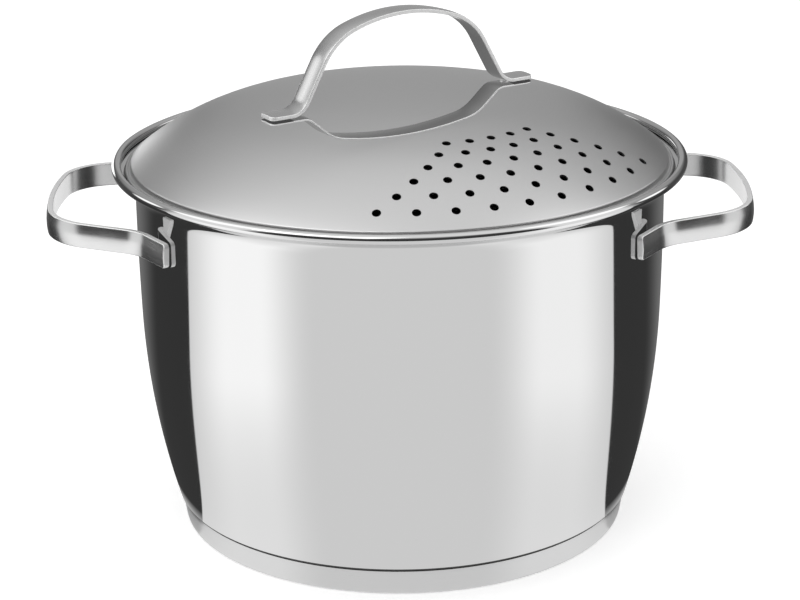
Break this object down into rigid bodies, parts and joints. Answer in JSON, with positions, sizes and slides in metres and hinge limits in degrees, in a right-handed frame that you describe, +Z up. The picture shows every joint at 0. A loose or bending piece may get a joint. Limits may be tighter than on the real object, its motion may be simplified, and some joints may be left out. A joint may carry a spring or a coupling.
{
  "type": "stockpot with strainer lid",
  "caption": "Tall stainless pot with a bulging wall, rolled rim, thick capsule base, two strap loop handles and a domed lid with strainer holes and an arched handle.",
  "frame": {"origin": "centre of the flat resting face under the base", "axes": "+Z up out of the mouth, +X towards the right-hand side handle, the pictured side faces -Y"},
  "size_m": [0.3218, 0.2619, 0.2529],
  "materials": {
    "pot_wall": "mirror polished stainless steel",
    "base": "satin turned stainless steel",
    "core": "plain aluminium, enclosed",
    "handle": "satin strap steel with polished edges",
    "bracket": "satin folded sheet steel",
    "lid": "fine satin stainless steel",
    "lid_handle": "satin strap steel with polished edges"
  },
  "bodies": {
    "pot": {"pot_body": "pot_wall", "base_core": "core", "base_cap": "base", "left_handle_grip": "handle", "left_front_bracket": "bracket", "left_rear_bracket": "bracket", "left_handle_weld_spots": "bracket", "right_handle_grip": "handle", "right_front_bracket": "bracket", "right_rear_bracket": "bracket", "right_handle_weld_spots": "bracket"},
    "lid": {"lid_shell": "lid", "lid_handle_grip": "lid_handle", "lid_handle_bracket": "lid_handle", "lid_handle_weld_spots": "bracket"}
  },
  "joints": [
    {"name": "lid_lift", "type": "slide", "parent": "pot", "child": "lid", "axis": [0, 0, 1], "range_m": [0, 0.12]}
  ]
}
